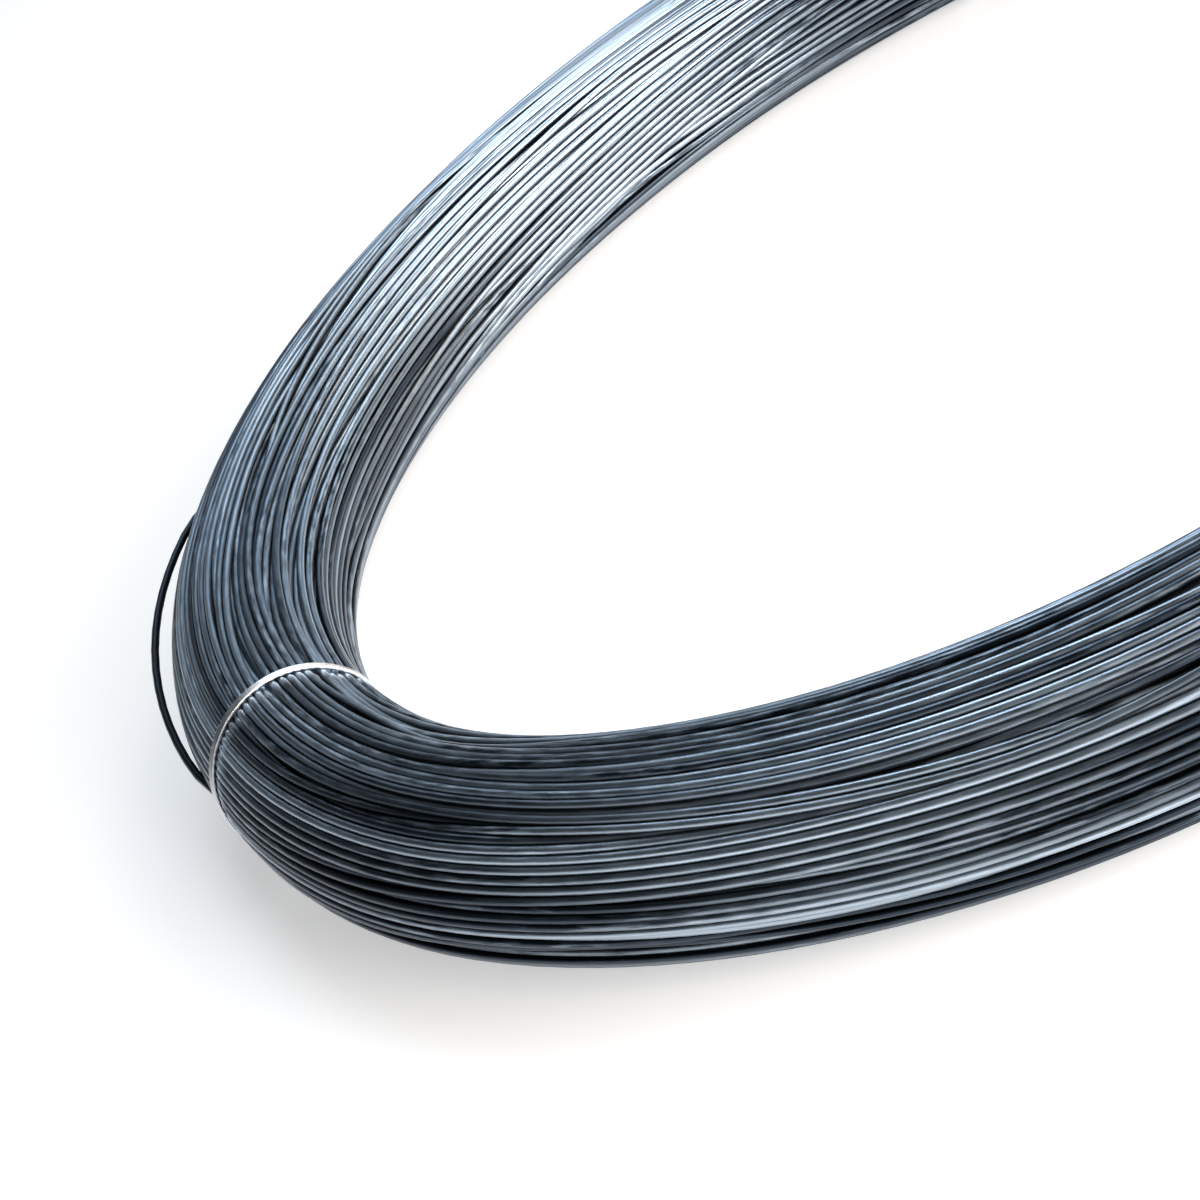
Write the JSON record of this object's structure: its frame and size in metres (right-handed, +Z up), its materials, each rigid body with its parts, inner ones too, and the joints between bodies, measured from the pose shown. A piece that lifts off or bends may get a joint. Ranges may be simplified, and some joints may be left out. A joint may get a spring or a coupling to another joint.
{
  "type": "coil of galvanized wire",
  "caption": "Round coil of galvanized steel wire lying flat, wound as a round bundle of turns and tied with short wire ties.",
  "frame": {"origin": "on the floor under the centre of the coil's bore", "axes": "+Z up along the coil's axis, +X to the right of the view from the front"},
  "size_m": [0.5645, 0.5623, 0.0568],
  "materials": {
    "galvanized_wire": "dark blue-grey zinc coat, drawn smooth, with dull and bright patches along the wire",
    "tie_wire": "bright new zinc coat on soft wire"
  },
  "bodies": {
    "root": {"wire_coil": "galvanized_wire", "tie_wire_1": "tie_wire", "tie_wire_2": "tie_wire", "tie_wire_3": "tie_wire"}
  },
  "joints": []
}
